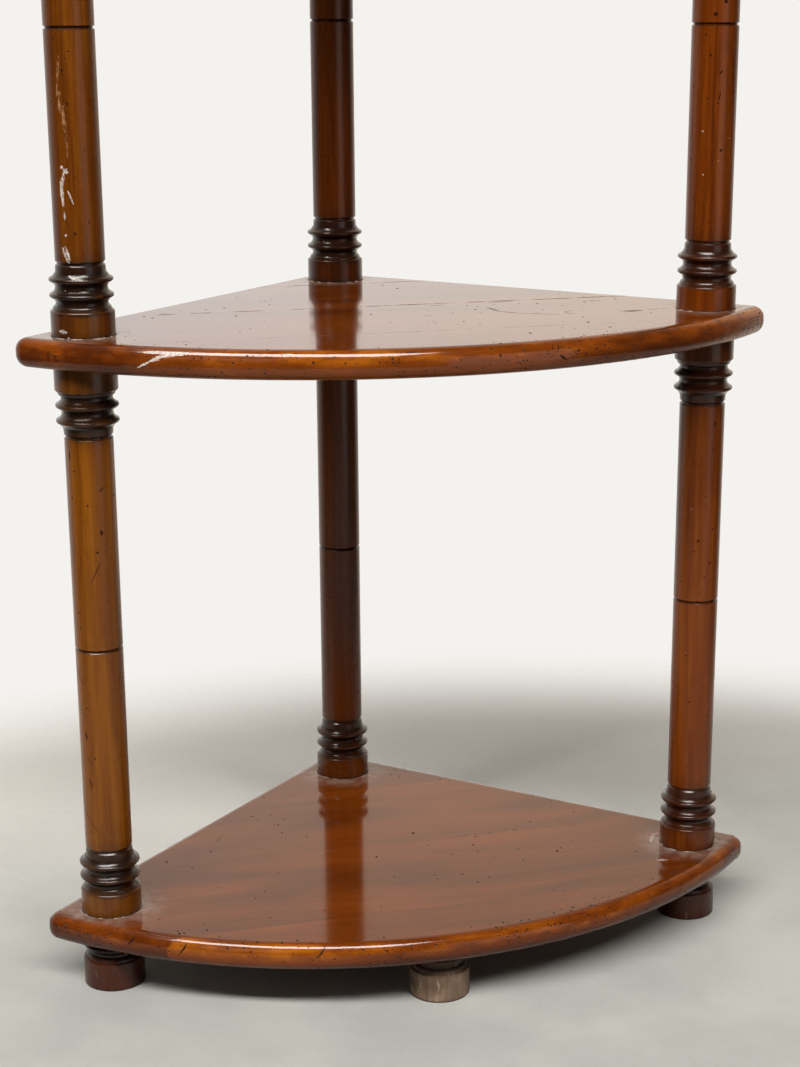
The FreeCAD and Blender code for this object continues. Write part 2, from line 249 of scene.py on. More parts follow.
# Each has its place, the point it faces, its width and height in metres, and its watts.
soft_panel("front_glow", (-0.79, -2.05, 2.73), (0.0, -0.1, 0.4), 4.4, 0.5, 187, mirrored=False)
soft_panel("ceiling_strip", (-0.60, -0.90, 3.0), (-0.1, -0.15, 0.4), 2.4, 1.0, 185, lighting=False)
soft_panel("window_right", (1.50, -2.70, 0.45), (0.0, 0.0, 0.45), 1.7, 2.8, 14, lighting=False)
soft_panel("window_left", (-2.0, -2.6, 2.2), (0.0, 0.0, 0.5), 1.4, 1.4, 6)
soft_panel("back_fill", (0.6, 2.6, 2.9), (0.0, 0.0, 0.7), 2.4, 2.0, 26, mirrored=False)


# ---- Shelves ---------------------------------------------------------------------------
# Four shelves, each edge-glued from four boards of stained cherry with the grain along
# the long front, then sawn to a quarter round, moulded, distressed and lacquered.

board_parts = ("front", "middle_front", "middle_back", "back")
post_places = {}
for name in ("left", "right", "back"):
    low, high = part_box(f"foot_{name}")
    post_places[name] = ((low.x + high.x) / 2, (low.y + high.y) / 2)
shelf_tops = {shelf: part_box(f"shelf_{shelf}_board_back")[1].z for shelf in (1, 2, 3, 4)}
shelf_thickness = shelf_tops[1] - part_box("shelf_1_board_back")[0].z
shelf_pitch = shelf_tops[2] - shelf_tops[1]
shelf_middle = shelf_tops[1] - shelf_thickness / 2
# The front arc's centre lies behind the back post, so the arc stands out beyond the front posts.
arc_setback = 0.030
arc_centre_y = post_places["back"][1] + arc_setback
arc_radius = arc_centre_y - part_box("shelf_1_board_front")[0].y
glue_lines = {shelf: [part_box(f"shelf_{shelf}_board_{part}")[1].y for part in board_parts[:3]]
              for shelf in shelf_tops}


def new_group(name, inputs, outputs):
    """A shader node group, what it is given, and its end. outputs lists names of values."""
    tree = bpy.data.node_groups.new(name, "ShaderNodeTree")
    for label, value in inputs.items():
        kind = "NodeSocketVector" if isinstance(value, tuple) else "NodeSocketFloat"
        socket = tree.interface.new_socket(name=label, in_out="INPUT", socket_type=kind)
        socket.default_value = value
    for label in outputs:
        tree.interface.new_socket(name=label, in_out="OUTPUT", socket_type="NodeSocketFloat")
    return tree, add_node(tree, "NodeGroupInput").outputs, add_node(tree, "NodeGroupOutput").inputs


def use_group(tree, group, **values):
    """Places a group in a tree. Spaces in the names of its inputs are written as _."""
    values = {label.replace("_", " "): value for label, value in values.items()}
    return add_node(tree, "ShaderNodeGroup", values, node_tree=group).outputs


def vary(tree, base, value, amount):
    """Raises base where value is over a half and lowers it where value is under a half."""
    return times_plus(tree, number(tree, "SUBTRACT", value, 0.5), amount, base)


# Grain that runs along X: slow clouds, growth rings about a heart line, fibres and pores.
grain, given, end = new_group(
    "straight_grain",
    {"Vector": (0.0, 0.0, 0.0), "Heart": (0.0, 0.0, -0.12), "Ring Spacing": 0.006, "Wander": 0.007},
    ("Cloud", "Ring", "Streak", "Fibre", "Pore"))
along = given["Vector"]
cloud = noise(grain, along, 1.0, detail=4.0, roughness=0.55, distortion=0.8, stretch=(3.2, 16, 16))
wander = noise(grain, along, 1.0, stretch=(3.0, 12, 12))
wander = times(grain, number(grain, "SUBTRACT", wander, 0.5), given["Wander"])
from_heart = vector_math(grain, "SUBTRACT", along, given["Heart"])["Vector"]
crosswise = vector_math(grain, "MULTIPLY", from_heart, (0, 1, 1))["Vector"]
radius = vector_math(grain, "LENGTH", crosswise)["Value"]
radius = times_plus(grain, wander, 6.0, radius)
turns = number(grain, "FRACT", number(grain, "DIVIDE", radius, given["Ring Spacing"]))
ring = times(grain, number(grain, "POWER", turns, 2.2), fade(grain, turns, 1.0, 0.86))
streak = noise(grain, along, 1.0, detail=2.0, distortion=0.3, stretch=(5, 150, 150))
fibre = noise(grain, along, 1.0, roughness=0.6, stretch=(16, 520, 520))
pore = fade(grain, noise(grain, along, 1.0, detail=1.0, stretch=(70, 1900, 1900)), 0.66, 0.74)
for label, value in (("Cloud", cloud), ("Ring", ring), ("Streak", streak), ("Fibre", fibre),
                     ("Pore", pore)):
    grain.links.new(value, end[label])

# Round specks such as worm holes and flicked ink, in loose crowds, on a surface laid flat.
specks, given, end = new_group(
    "specks",
    {"Vector": (0.0, 0.0, 0.0), "Spacing": 0.006, "Size": 0.0006, "Share": 0.3, "Crowding": 14.0},
    ("Speck",))
cell_scale = number(specks, "DIVIDE", 1.0, given["Spacing"])
cells = add_node(specks, "ShaderNodeTexVoronoi", {"Vector": given["Vector"], "Scale": cell_scale},
                 voronoi_dimensions="2D", feature="F1")
apart = times(specks, cells.outputs["Distance"], given["Spacing"])
apart = vary(specks, apart, noise(specks, given["Vector"], 700.0, detail=2.0), 0.0011)
lot = add_node(specks, "ShaderNodeSeparateColor", {0: cells.outputs["Color"]}).outputs
own_size = number(specks, "ADD", number(specks, "POWER", lot["Green"], 2.0), 0.4)
own_size = times(specks, given["Size"], own_size)
inside = fade(specks, number(specks, "DIVIDE", apart, own_size), 1.0, 0.6)
crowd = noise(specks, given["Vector"], given["Crowding"], detail=2.0)
crowd = fade(specks, crowd, 0.45, 0.60, 0.22, 1.7)
chosen = number(specks, "LESS_THAN", lot["Red"], times(specks, given["Share"], crowd))
specks.links.new(times(specks, inside, chosen), end["Speck"])

# One cut, scratch or chip: a ragged stroke from Start to End that thins at both ends.
stroke, given, end = new_group(
    "stroke",
    {"Vector": (0.0, 0.0, 0.0), "Start": (0.0, 0.0, 0.0), "End": (0.0, 0.0, 0.01), "Width": 0.001,
     "Ragged": 0.4, "Grit": 700.0},
    ("Mark",))
from_start = vector_math(stroke, "SUBTRACT", given["Vector"], given["Start"])["Vector"]
run = vector_math(stroke, "SUBTRACT", given["End"], given["Start"])["Vector"]
reached = vector_math(stroke, "DOT_PRODUCT", from_start, run)["Value"]
length = vector_math(stroke, "DOT_PRODUCT", run, run)["Value"]
share = number(stroke, "DIVIDE", reached, length, clamp=True)
nearest = add_node(stroke, "ShaderNodeVectorMath", {0: run, "Scale": share}, operation="SCALE")
away = vector_math(stroke, "DISTANCE", from_start, nearest.outputs["Vector"])["Value"]
from_middle = number(stroke, "ABSOLUTE", number(stroke, "SUBTRACT", share, 0.5))
width = times_plus(stroke, from_middle, -1.2, 1.1)
width = times(stroke, given["Width"], width)
rag = number(stroke, "SUBTRACT", noise(stroke, given["Vector"], given["Grit"]), 0.5)
rag = times(stroke, rag, times(stroke, given["Ragged"], 4.0))
level = number(stroke, "ADD", number(stroke, "DIVIDE", away, width), rag)
stroke.links.new(fade(stroke, level, 1.0, 0.7), end["Mark"])


def strongest(tree, *masks):
    """The largest of several masks."""
    found = masks[0]
    for mask in masks[1:]:
        found = number(tree, "MAXIMUM", found, mask)
    return found


def strokes(tree, flat, rows, side=0.0, ragged=0.4):
    """All the strokes in rows as one mask. A row is start, end and half the width, in mm."""
    masks = [0.0]
    for start_u, start_v, end_u, end_v, half in rows:
        mark = use_group(tree, stroke, Vector=flat, Start=(start_u / 1000, start_v / 1000, side),
                         End=(end_u / 1000, end_v / 1000, side), Width=half / 1000,
                         Ragged=ragged, Grit=500 + 1100 * ragged)
        masks.append(mark["Mark"])
    return strongest(tree, *masks)


def scatter(tree, flat, spacing, size, share, crowding, move=None):
    """A mask of specks. move shifts them, so that two layers don't fall on the same places."""
    if move:
        flat = placed(tree, flat, location=move)
    return use_group(tree, specks, Vector=flat, Spacing=spacing, Size=size, Share=share,
                     Crowding=crowding)["Speck"]


def joined(tree, x, y, z=0.0):
    """A vector from its X, Y and Z."""
    return add_node(tree, "ShaderNodeCombineXYZ", {0: x, 1: y, 2: z}).outputs[0]


def lay(tree, colour, mask, strength, paint):
    """Lays paint on colour where the mask is."""
    return blend_colour(tree, times(tree, mask, strength), colour, paint)


def wood_colour(tree, shade, dark, middle, light):
    """The colour of stained wood by shade."""
    return ramp(tree, shade, (0.15, dark), (0.5, middle), (0.9, light))


def grain_height(tree, wood, pores, fibres):
    """The height of a wooden surface: pores sink and fibres stand up."""
    raised = times(tree, wood["Fibre"], fibres)
    return times_plus(tree, wood["Pore"], -pores, raised)


def dress(piece, finish):
    """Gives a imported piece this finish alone."""
    piece.data.materials.clear()
    piece.data.materials.append(finish)


shelf_dark = screen(75, 31, 5)
shelf_warm = screen(115, 54, 9)
shelf_gold = screen(161, 89, 15)
ink_and_shade = screen(22, 12, 8)
chip_and_glint_white = screen(208, 202, 196)
wax_grey = screen(188, 180, 170)
shelf_gloss = 0.46
shelf_lacquer_index = 1.48
# How much of the colour ink hides, and how deep a knock is in the units of grain_height.
ink_cover = 0.92
knock_depth = 2.5
# A surface whose normal's Z is nearer to 1 or -1 than this counts as flat.
flat_limit = 0.75
arris_wear = 0.014
# Painted light and shade on the lower part of each shelf's edge, which faces down: lighter on shelf
# 2, darker on the others.
lower_edge_light_and_shade = {1: -0.10, 2: 0.16, 3: -0.05, 4: -0.05}
joint_widths = {1: 0.0006, 2: 0.0017, 3: 0.0008, 4: 0.0008}
joint_shares = {1: (0.05, 0.30), 2: (0.10, 0.95), 3: (0.05, 0.50), 4: (0.05, 0.50)}
# The front glue line is fainter than the others.
front_joint = 0.25
# Wax round a post: the radii where it starts and is full, then how its thickness varies.
haze_rings = ((0.0285, 0.0232, 0.35, 0.12, 0.55), (0.0480, 0.0250, 0.30, 0.06, 0.26))
# Stops along the edge are values of X, on ramps this long.
edge_span = 0.6
# How crowded the finest pits in the edge are.
edge_pits = {
    1: (
        (-0.25, 0.1), (-0.2, 0.35), (-0.14, 0.12), (-0.06, 0.2), (0.01, 0.5), (0.05, 0.62),
        (0.14, 0.55), (0.18, 0.2),
    ),
    2: (
        (-0.25, 0.05), (-0.17, 0.16), (-0.04, 0.22), (0.05, 0.18), (0.12, 0.38), (0.17, 0.2),
        (0.24, 0.5),
    ),
}
plain_pits = ((0.0, 0.2), (0.2, 0.2))
arris_pits = {1: 0.40, 2: 0.20, 3: 0.20, 4: 0.20}
# How much lighter or darker the edge is than the rest of its board: the boards' own tones, with
# painted shade where the edge turns away from the light.
edge_tones_and_shade = {
    (1, "front"): (
        (-0.21, 0.1), (-0.14, 0.2), (-0.04, -0.08), (0.065, -0.06), (0.14, -0.02), (0.185, -0.12),
    ),
    (1, "middle_front"): (
        (-0.24, -0.12), (-0.21, -0.04), (0.2, 0.0),
    ),
    (2, "front"): (
        (-0.235, -0.28), (-0.2, -0.1), (-0.17, -0.08), (-0.1, 0.06), (-0.04, 0.12), (0.034, 0.08),
        (0.073, 0.02), (0.113, -0.14), (0.153, -0.18), (0.195, -0.16), (0.225, -0.04),
    ),
    (2, "middle_front"): (
        (-0.28, 0.02), (-0.264, -0.02), (-0.255, -0.22), (-0.235, -0.26), (0.24, 0.16),
    ),
}
plain_edge_tones_and_shade = ((0.0, -0.06), (0.2, -0.10))
board_brightness = {(1, "front"): -0.08, (1, "middle_front"): -0.09,
                    (2, "front"): -0.04, (2, "middle_front"): -0.05}

# Knocks and scratches. Along the edge a row holds X and Z, on the top face X and Y.
edge_cuts = {
    (1, "front"): (
        (-198.9, 50.7, -193.6, 58.2, 0.75), (-102.4, 52.6, -94.9, 60.1, 0.67),
    ),
    (1, "middle_front"): (
        (-234.9, 51.6, -229.6, 58.5, 0.68),
    ),
    (2, "front"): (
        (-174.8, 502.8, -174.8, 502.3, 1.05), (-170.0, 503.0, -170.0, 502.5, 1.05),
        (-127.7, 504.7, -127.6, 504.1, 0.94), (-101.5, 507.1, -101.6, 506.7, 0.94),
        (-42.9, 505.2, -42.5, 497.9, 0.28), (-33.2, 506.1, -24.8, 506.1, 0.41),
        (28.2, 506.8, 28.3, 506.0, 1.43), (34.1, 501.8, 34.4, 500.8, 1.31),
        (75.0, 506.3, 74.2, 502.4, 0.49), (79.4, 506.0, 78.7, 502.0, 0.49),
        (80.5, 498.2, 85.5, 494.9, 1.06), (95.5, 500.9, 95.8, 500.3, 0.97),
        (101.3, 498.2, 101.6, 497.6, 1.09), (110.5, 501.0, 110.8, 500.4, 0.97),
        (117.2, 502.5, 117.4, 501.9, 0.97), (127.8, 507.1, 127.7, 506.4, 1.1),
    ),
}
edge_chips = {
    (2, "front"): (
        (-211.0, 494.6, -203.1, 499.4, 0.75), (-203.1, 499.4, -194.4, 503.6, 1.25),
        (-201.5, 506.6, -189.9, 506.0, 0.7), (-189.9, 506.0, -177.9, 505.9, 0.95),
        (-198.0, 502.6, -184.0, 504.9, 0.95), (-196.0, 504.6, -181.0, 504.4, 0.75),
        (-207.0, 504.9, -196.0, 504.8, 0.4), (-116.2, 506.2, -110.9, 506.2, 0.95),
        (-118.0, 505.0, -112.0, 505.2, 0.45),
    ),
}
top_cuts = {
    (1, "middle_back"): (
        (-64.9, 14.4, -64.5, 14.0, 1.42), (-84.7, 70.9, -84.3, 70.5, 1.46),
        (-140.2, 24.5, -133.1, 35.9, 0.29), (126.6, -4.4, 127.1, -4.8, 1.64),
    ),
    (1, "middle_front"): (
        (-168.1, -23.2, -167.7, -23.6, 1.55), (-154.4, -68.4, -154.0, -68.7, 1.36),
        (-82.7, -133.0, -82.3, -133.3, 1.31), (-38.6, -138.0, -38.2, -138.3, 1.31),
        (-126.1, -134.5, -125.6, -134.9, 1.31), (98.4, -58.5, 98.9, -58.9, 1.4),
        (58.9, -106.8, 59.4, -107.1, 1.36), (95.5, -81.5, 95.9, -81.8, 1.4),
    ),
    (2, "front"): (
        (70.6, -159.1, 70.6, -163.7, 1.28), (135.7, -148.7, 136.1, -152.0, 1.3),
    ),
    (2, "middle_back"): (
        (175.6, 0.6, 176.1, -2.7, 1.07), (36.4, 91.9, 36.9, 88.6, 1.28),
        (29.5, 115.2, 30.0, 111.8, 1.3), (-172.1, 8.1, -168.0, 4.8, 0.38),
        (-157.3, 14.6, -155.2, 12.9, 0.46), (-136.1, 17.7, -134.7, 13.6, 0.6),
        (-120.5, 22.1, -119.8, 18.1, 0.86),
    ),
    (2, "middle_front"): (
        (77.0, -32.7, 80.5, -55.4, 1.05), (80.5, -55.4, 92.7, -67.9, 1.0),
        (92.7, -67.9, 120.0, -82.5, 0.7), (126.8, -76.5, 132.6, -80.8, 0.8),
        (171.4, -83.7, 187.4, -80.2, 1.3), (193.7, -76.6, 204.0, -75.7, 0.8),
        (162.0, -20.3, 174.4, -20.9, 0.9), (37.1, -10.3, 49.1, -10.9, 0.9),
        (86.1, -7.9, 105.9, -5.6, 0.9), (169.8, -79.0, 187.6, -77.6, 1.2),
        (103.3, -69.8, 107.4, -72.0, 0.54), (18.3, -61.6, 24.7, -61.3, 0.53),
        (205.5, -74.0, 212.4, -77.5, 0.47), (128.1, -121.8, 128.1, -126.0, 1.32),
        (132.7, -97.5, 133.0, -100.8, 1.0), (121.2, -21.3, 121.7, -24.7, 1.04),
        (159.4, -23.7, 159.9, -27.0, 1.07), (188.8, -14.7, 189.2, -18.1, 1.23),
        (-118.9, -21.1, -118.3, -25.0, 1.01), (-181.6, -13.8, -181.0, -17.7, 1.0),
    ),
}
top_chips = {
    (1, "middle_front"): (
        (209.9, -74.6, 217.5, -60.1, 1.6), (217.5, -60.1, 223.1, -57.6, 1.5),
        (201.7, -111.6, 209.0, -113.2, 2.2),
    ),
}


def edge_ramp(tree, along_edge, stops, lift=0.0):
    """A grey ramp along the edge. Each stop is (X, value), and lift is added to the values."""
    return ramp(tree, along_edge, *[(x / edge_span + 0.5, value + lift) for x, value in stops])


for shelf, top in shelf_tops.items():
    for part_number, part in enumerate(board_parts):
        key = (shelf, part)
        chance = random.Random(100 * shelf + part_number)
        finish, tree, output, place = new_material(f"shelf_{shelf}_{part}_lacquered_cherry")
        offset = (chance.uniform(-3, 3), chance.uniform(-1, 1), chance.uniform(-1, 1))
        heart = (0.0, offset[1] + chance.uniform(-0.09, 0.09),
                 offset[2] + top - chance.uniform(0.05, 0.10))
        wood = use_group(tree, grain, Vector=placed(tree, place, location=offset), Heart=heart,
                         Ring_Spacing=chance.uniform(0.006, 0.009), Wander=0.006)
        facing = split(tree, add_node(tree, "ShaderNodeTexCoord").outputs["Normal"])
        flatness = number(tree, "ABSOLUTE", facing["Z"])
        on_top = fade(tree, facing["Z"], 0.9, 0.99)
        on_edge = fade(tree, flatness, 0.995, 0.9)
        spot = split(tree, place)
        below_top = number(tree, "SUBTRACT", top, spot["Z"])
        # The surface laid flat: X and Y on the faces, X and Z on the edge. The third number
        # tells them apart.
        rim = number(tree, "LESS_THAN", flatness, flat_limit)
        underneath = number(tree, "LESS_THAN", facing["Z"], -flat_limit)
        side = times_plus(tree, underneath, 2.0, rim)
        rise = number(tree, "SUBTRACT", spot["Z"], spot["Y"])
        flat = joined(tree, spot["X"], times_plus(tree, rim, rise, spot["Y"]), side)
        brightness = board_brightness.get(key, chance.uniform(-0.12, -0.02))
        shade = times_plus(tree, wood["Cloud"], 0.95, brightness - 0.075)
        shade = times_plus(tree, wood["Ring"], -0.05, shade)
        shade = vary(tree, shade, wood["Streak"], 0.10)
        shade = vary(tree, shade, wood["Fibre"], 0.12)
        # The edge has tones of its own with painted shade where it turns away from the light, its
        # upper arris is rubbed golden in patches, and its lower part carries painted light on one
        # shelf and painted shade on the others.
        along_edge = times_plus(tree, spot["X"], 1 / edge_span, 0.5)
        edge_tone_and_shade = edge_ramp(tree, along_edge, edge_tones_and_shade.get(key, plain_edge_tones_and_shade), lift=0.5)
        shade = times_plus(tree, on_edge, number(tree, "SUBTRACT", edge_tone_and_shade, 0.5), shade)
        rubbed = times(tree, fade(tree, below_top, arris_wear, arris_wear / 2), on_edge)
        patchy = noise(tree, place, 38.0, stretch=(1, 1, 3))
        patchy = fade(tree, patchy, 0.35, 0.65, 0.06, 0.34)
        shade = times_plus(tree, rubbed, patchy, shade)
        # Painted light or shade on the lower part of the edge, by shelf.
        lower = fade(tree, below_top, shelf_thickness * 0.55, shelf_thickness * 0.9)
        shade = times_plus(tree, lower, lower_edge_light_and_shade[shelf], shade)
        # Short upright lines of end grain where the rim cuts across the fibres.
        across_grain = fade(tree, number(tree, "ABSOLUTE", facing["X"]), 0.62, 0.68)
        end_lines = noise(tree, place, 1.0, detail=1.0, stretch=(60, 520, 6))
        end_lines = times(tree, fade(tree, end_lines, 0.50, 0.66), across_grain)
        shade = times_plus(tree, end_lines, -0.24, shade)
        shade = times_plus(tree, across_grain, -0.13, shade)
        # Painted shade: the underside is coloured dark, so that it throws less light onto the floor
        # beneath, and it is left unpolished.
        shade = times_plus(tree, fade(tree, facing["Z"], -0.9, -0.99), -0.6, shade)
        colour = wood_colour(tree, shade, shelf_dark, shelf_warm, shelf_gold)
        colour = lay(tree, colour, wood["Pore"], 0.45, shelf_dark)
        # Thin glue lines where this board meets its neighbours, broken here and there.
        joint_width = joint_widths[shelf]
        joint_masks = []
        for line in glue_lines[shelf][max(0, part_number - 1):part_number + 1]:
            to_line = number(tree, "ABSOLUTE", number(tree, "SUBTRACT", spot["Y"], line))
            strength = front_joint if line == glue_lines[shelf][0] else 1.0
            joint_masks.append(fade(tree, to_line, joint_width, joint_width / 3, 0.0, strength))
        broken = noise(tree, place, 55.0, stretch=(1, 0.2, 0.2))
        broken = fade(tree, broken, 0.42, 0.62, *joint_shares[shelf])
        joint_line = times(tree, strongest(tree, *joint_masks), broken)
        colour = blend_colour(tree, joint_line, colour, ink_and_shade)
        # Specks, each with a faint painted highlight on one side of its rim, densest on the arris
        # and the edge, drawn out a little from front to back on the faces.
        from_arc = from_upright(tree, place, 0, arc_centre_y)
        near_front = fade(tree, from_arc, arc_radius - 0.045, arc_radius - 0.008)
        arris_band = fade(tree, from_arc, arc_radius - 0.020, arc_radius - 0.012)
        arris_band = times(tree, arris_band, on_top)
        density = times_plus(tree, near_front, 0.09, 0.03)
        density = times_plus(tree, arris_band, arris_pits[shelf], density)
        density = times_plus(tree, rim, 0.19, density)
        depth = times(tree, spot["Y"], 0.6)
        row = times_plus(tree, rim, number(tree, "SUBTRACT", spot["Z"], depth), depth)
        pitted = joined(tree, spot["X"], row, side)
        size = times_plus(tree, arris_band, 0.0001, 0.00074)
        small_kind = {"spacing": 0.0036, "size": size, "share": density, "crowding": 11.0}
        small = scatter(tree, pitted, **small_kind)
        rim_glint = scatter(tree, pitted, **small_kind, move=(0.0002, 0.0005, 0))
        large = scatter(tree, pitted, spacing=0.021, size=0.0010, crowding=9.0,
                        share=times_plus(tree, rim, 0.24, 0.12), move=(1.3, 0.4, 0.2))
        pits = edge_ramp(tree, along_edge, edge_pits.get(shelf, plain_pits))
        tiny = scatter(tree, flat, spacing=0.0023, size=0.00066, crowding=26.0,
                       share=times(tree, pits, on_edge), move=(0.4, 2.2, 0.0))
        cuts = strongest(tree, strokes(tree, flat, edge_cuts.get(key, ()), side=1.0),
                         strokes(tree, flat, top_cuts.get(key, ())))
        dark_spots = strongest(tree, small, large, tiny, cuts)
        # A faint painted highlight on one side of each speck's rim.
        colour = lay(tree, colour, rim_glint, 0.07, chip_and_glint_white)
        colour = lay(tree, colour, dark_spots, ink_cover, ink_and_shade)
        # White chips where the lacquer has flaked off, fainter on the top face.
        faint_chips = strokes(tree, flat, top_chips.get(key, ()), ragged=1.0)
        chips = strongest(tree, strokes(tree, flat, edge_chips.get(key, ()), side=1.0, ragged=1.0),
                          times(tree, faint_chips, 0.5))
        flaked = fade(tree, noise(tree, place, 1100.0), 0.32, 0.56, 0.30, 1.0)
        colour = lay(tree, colour, chips, flaked, chip_and_glint_white)
        # Wax and dust that polishing leaves round each post, thickest beside it.
        distances = [from_upright(tree, place, x, y) for x, y in post_places.values()]
        smear = noise(tree, place, 110.0)
        hazes = []
        for start, full, thin_under, thinnest, thickest in haze_rings:
            rings = [fade(tree, distance, start, full) for distance in distances]
            thickness = fade(tree, smear, thin_under, 0.70, thinnest, thickest)
            hazes.append(times(tree, strongest(tree, *rings), thickness))
        haze = times(tree, strongest(tree, *hazes), on_top)
        colour = blend_colour(tree, haze, colour, wax_grey)
        # Marks, wax and the lower edge are dull: rougher, and with less lacquer on them.
        low_edge = fade(tree, below_top, shelf_thickness * 0.6, shelf_thickness * 0.95)
        dull = strongest(tree, dark_spots, chips, times(tree, joint_line, on_top))
        rough = noise(tree, place, 30.0, detail=4.0, stretch=(1, 3, 3))
        rough = times_plus(tree, rough, 0.10, 0.05)
        rough = times_plus(tree, on_edge, 0.05, rough)
        rough = times_plus(tree, haze, 0.5, rough)
        rough = times_plus(tree, low_edge, 0.18, rough)
        rough = times_plus(tree, dull, 0.8, rough, clamp=True)
        bare = strongest(tree, dull, times(tree, haze, 1.3))
        cover = times_plus(tree, bare, -shelf_gloss, shelf_gloss, clamp=True)
        cover = times(tree, cover, times_plus(tree, low_edge, -0.75, 1.0))
        height = grain_height(tree, wood, pores=0.25, fibres=0.35)
        height = times_plus(tree, dark_spots, -knock_depth, height)
        uneven = times(tree, noise(tree, place, 75.0, detail=2.0), times(tree, on_edge, 5.0))
        relief = bumped(tree, number(tree, "ADD", height, uneven), 0.12, 0.0004)
        principled(tree, output, Base_Color=colour, Roughness=rough, IOR=shelf_lacquer_index,
                   Specular_IOR_Level=0.15, Coat_Weight=cover, Coat_Roughness=0.08,
                   Coat_IOR=shelf_lacquer_index, Normal=relief)
        dress(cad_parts[f"shelf_{shelf}_board_{part}"], finish)


# ---- Posts -----------------------------------------------------------------------------
# Nine turned sections of the same wood, grain upright, with a collar, a shoulder and two
# rings at each end, stained nearly black over the rings, then lacquered.

half_bay = shelf_pitch / 2
# How dark the stain is by distance from the nearest shelf's middle: strongest on the rings.
stain_stops = ((0.0108, 0.80), (0.0125, 0.42), (0.018, 0.28), (0.0262, 0.34), (0.0278, 0.72),
               (0.0310, 0.95), (0.0350, 1.0), (0.0560, 1.0), (0.0605, 0.90), (0.0615, 1.0),
               (0.0632, 0.95), (0.0650, 0.36), (0.0740, 0.10), (0.0950, 0.0))
# Half the middle groove's width, and how far a collar reaches, each where the stain starts and
# where it is full.
groove_half = (0.0020, 0.0008)
collar_reach = (0.0285, 0.0270)

# Dark stain by height, painted shade on the collar under each shelf, and a mask for the collars.
stain_and_shade_tree, given, end = new_group("turned_stain_and_shade", {"Vector": (0.0, 0.0, 0.0), "Ragged": 0.5},
                               ("Stain_and_shade", "Collar"))
bays = number(stain_and_shade_tree, "SUBTRACT", split(stain_and_shade_tree, given["Vector"])["Z"], shelf_middle)
bays = number(stain_and_shade_tree, "DIVIDE", bays, shelf_pitch)
to_shelf = times(stain_and_shade_tree, number(stain_and_shade_tree, "PINGPONG", bays, 0.5), 2.0)
loose = noise(stain_and_shade_tree, given["Vector"], 120.0, detail=4.0)
loose = number(stain_and_shade_tree, "SUBTRACT", loose, 0.5)
loose = times(stain_and_shade_tree, times(stain_and_shade_tree, loose, given["Ragged"]), 0.035)
stain = ramp(stain_and_shade_tree, number(stain_and_shade_tree, "ADD", to_shelf, loose),
             *[(distance / half_bay, shade) for distance, shade in stain_stops])
groove = fade(stain_and_shade_tree, to_shelf, *[1 - half / half_bay for half in groove_half], 0.0, 0.75)
collar = fade(stain_and_shade_tree, to_shelf, *[reach / half_bay for reach in collar_reach])
# Painted shade: the collar under a shelf is darker than the one that stands on a shelf.
collar_shade_under_shelf = number(stain_and_shade_tree, "GREATER_THAN", number(stain_and_shade_tree, "FRACT", bays), 0.5)
collar_shade_under_shelf = times(stain_and_shade_tree, times(stain_and_shade_tree, collar_shade_under_shelf, collar), 0.50)
stain_and_shade_tree.links.new(strongest(stain_and_shade_tree, stain, groove, collar_shade_under_shelf), end["Stain_and_shade"])
stain_and_shade_tree.links.new(collar, end["Collar"])

# The three tones of each post's wood, and the stain on it.
post_colours = {
    "left": (screen(69, 30, 2), screen(97, 49, 5), screen(125, 72, 10), screen(13, 9, 8)),
    "right": (screen(69, 26, 1), screen(100, 44, 3), screen(123, 63, 8), screen(36, 16, 8)),
    "back": (screen(56, 21, 1), screen(84, 37, 3), screen(106, 53, 8), screen(27, 14, 9)),
}
post_brightness = {("left", 1): 0.24, ("left", 2): -0.04, ("right", 1): 0.07, ("right", 2): -0.07,
                   ("back", 1): 0.10, ("back", 2): -0.14}
collar_stain = {("left", 2): 1.4, ("right", 2): 0.15, ("back", 2): 1.7}
post_gloss = 0.45
post_lacquer_index = 1.42
rub_tone = screen(176, 136, 98)
# The radius at which a post's surface is laid flat.
flat_radius = 0.018

